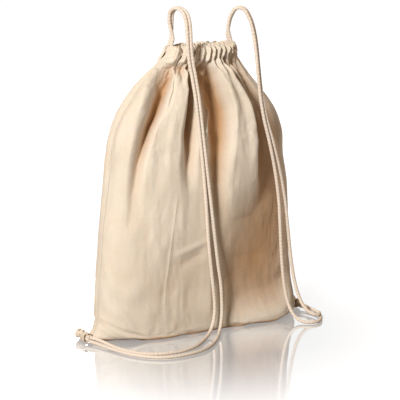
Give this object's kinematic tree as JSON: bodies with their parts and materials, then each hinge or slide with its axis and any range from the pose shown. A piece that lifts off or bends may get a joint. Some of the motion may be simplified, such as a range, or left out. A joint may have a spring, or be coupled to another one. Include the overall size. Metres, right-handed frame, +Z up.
{
  "type": "drawstring backpack",
  "caption": "Cotton canvas drawstring sack standing filled on its base, its mouth gathered on cords that come back down as doubled shoulder straps tied to loops at the bottom corners.",
  "frame": {"origin": "on the floor, at the middle of the outline of the sack and its two corner tabs", "axes": "+Z up, X across the bag from the left corner to the right, Y through it, with the shoulder straps in front of the -Y panel"},
  "size_m": [0.3782, 0.1938, 0.4657],
  "materials": {
    "natural_canvas": "matte plain-weave cotton",
    "folded_canvas": "matte plain-weave cotton, doubled and stitched",
    "overlocked_canvas": "raw cotton edge under overlock thread",
    "cotton_cord": "matte braided cotton",
    "cotton_thread": "matte twisted cotton"
  },
  "bodies": {
    "bag": {"back_panel": "natural_canvas", "front_panel": "natural_canvas", "back_casing": "folded_canvas", "front_casing": "folded_canvas", "back_casing_stitch": "cotton_thread", "front_casing_stitch": "cotton_thread", "left_side_seam": "overlocked_canvas", "right_side_seam": "overlocked_canvas", "bottom_seam": "overlocked_canvas", "left_corner_tab": "folded_canvas", "right_corner_tab": "folded_canvas", "left_cord_run": "cotton_cord", "right_cord_run": "cotton_cord", "left_knot": "cotton_cord", "right_knot": "cotton_cord"},
    "left_strap": {"left_strand_a": "cotton_cord", "left_strand_b": "cotton_cord"},
    "right_strap": {"right_strand_a": "cotton_cord", "right_strand_b": "cotton_cord"}
  },
  "joints": [
    {"name": "left_strap_swing", "type": "hinge", "parent": "bag", "child": "left_strap", "pos_m": [-0.177, -0.0135, 0.0069], "axis": [-0.3288, -0.0312, -0.9439], "range_deg": [0, 120]},
    {"name": "right_strap_swing", "type": "hinge", "parent": "bag", "child": "right_strap", "pos_m": [0.1769, -0.0235, 0.0069], "axis": [-0.27, 0.0552, 0.9613], "range_deg": [0, 30]}
  ]
}
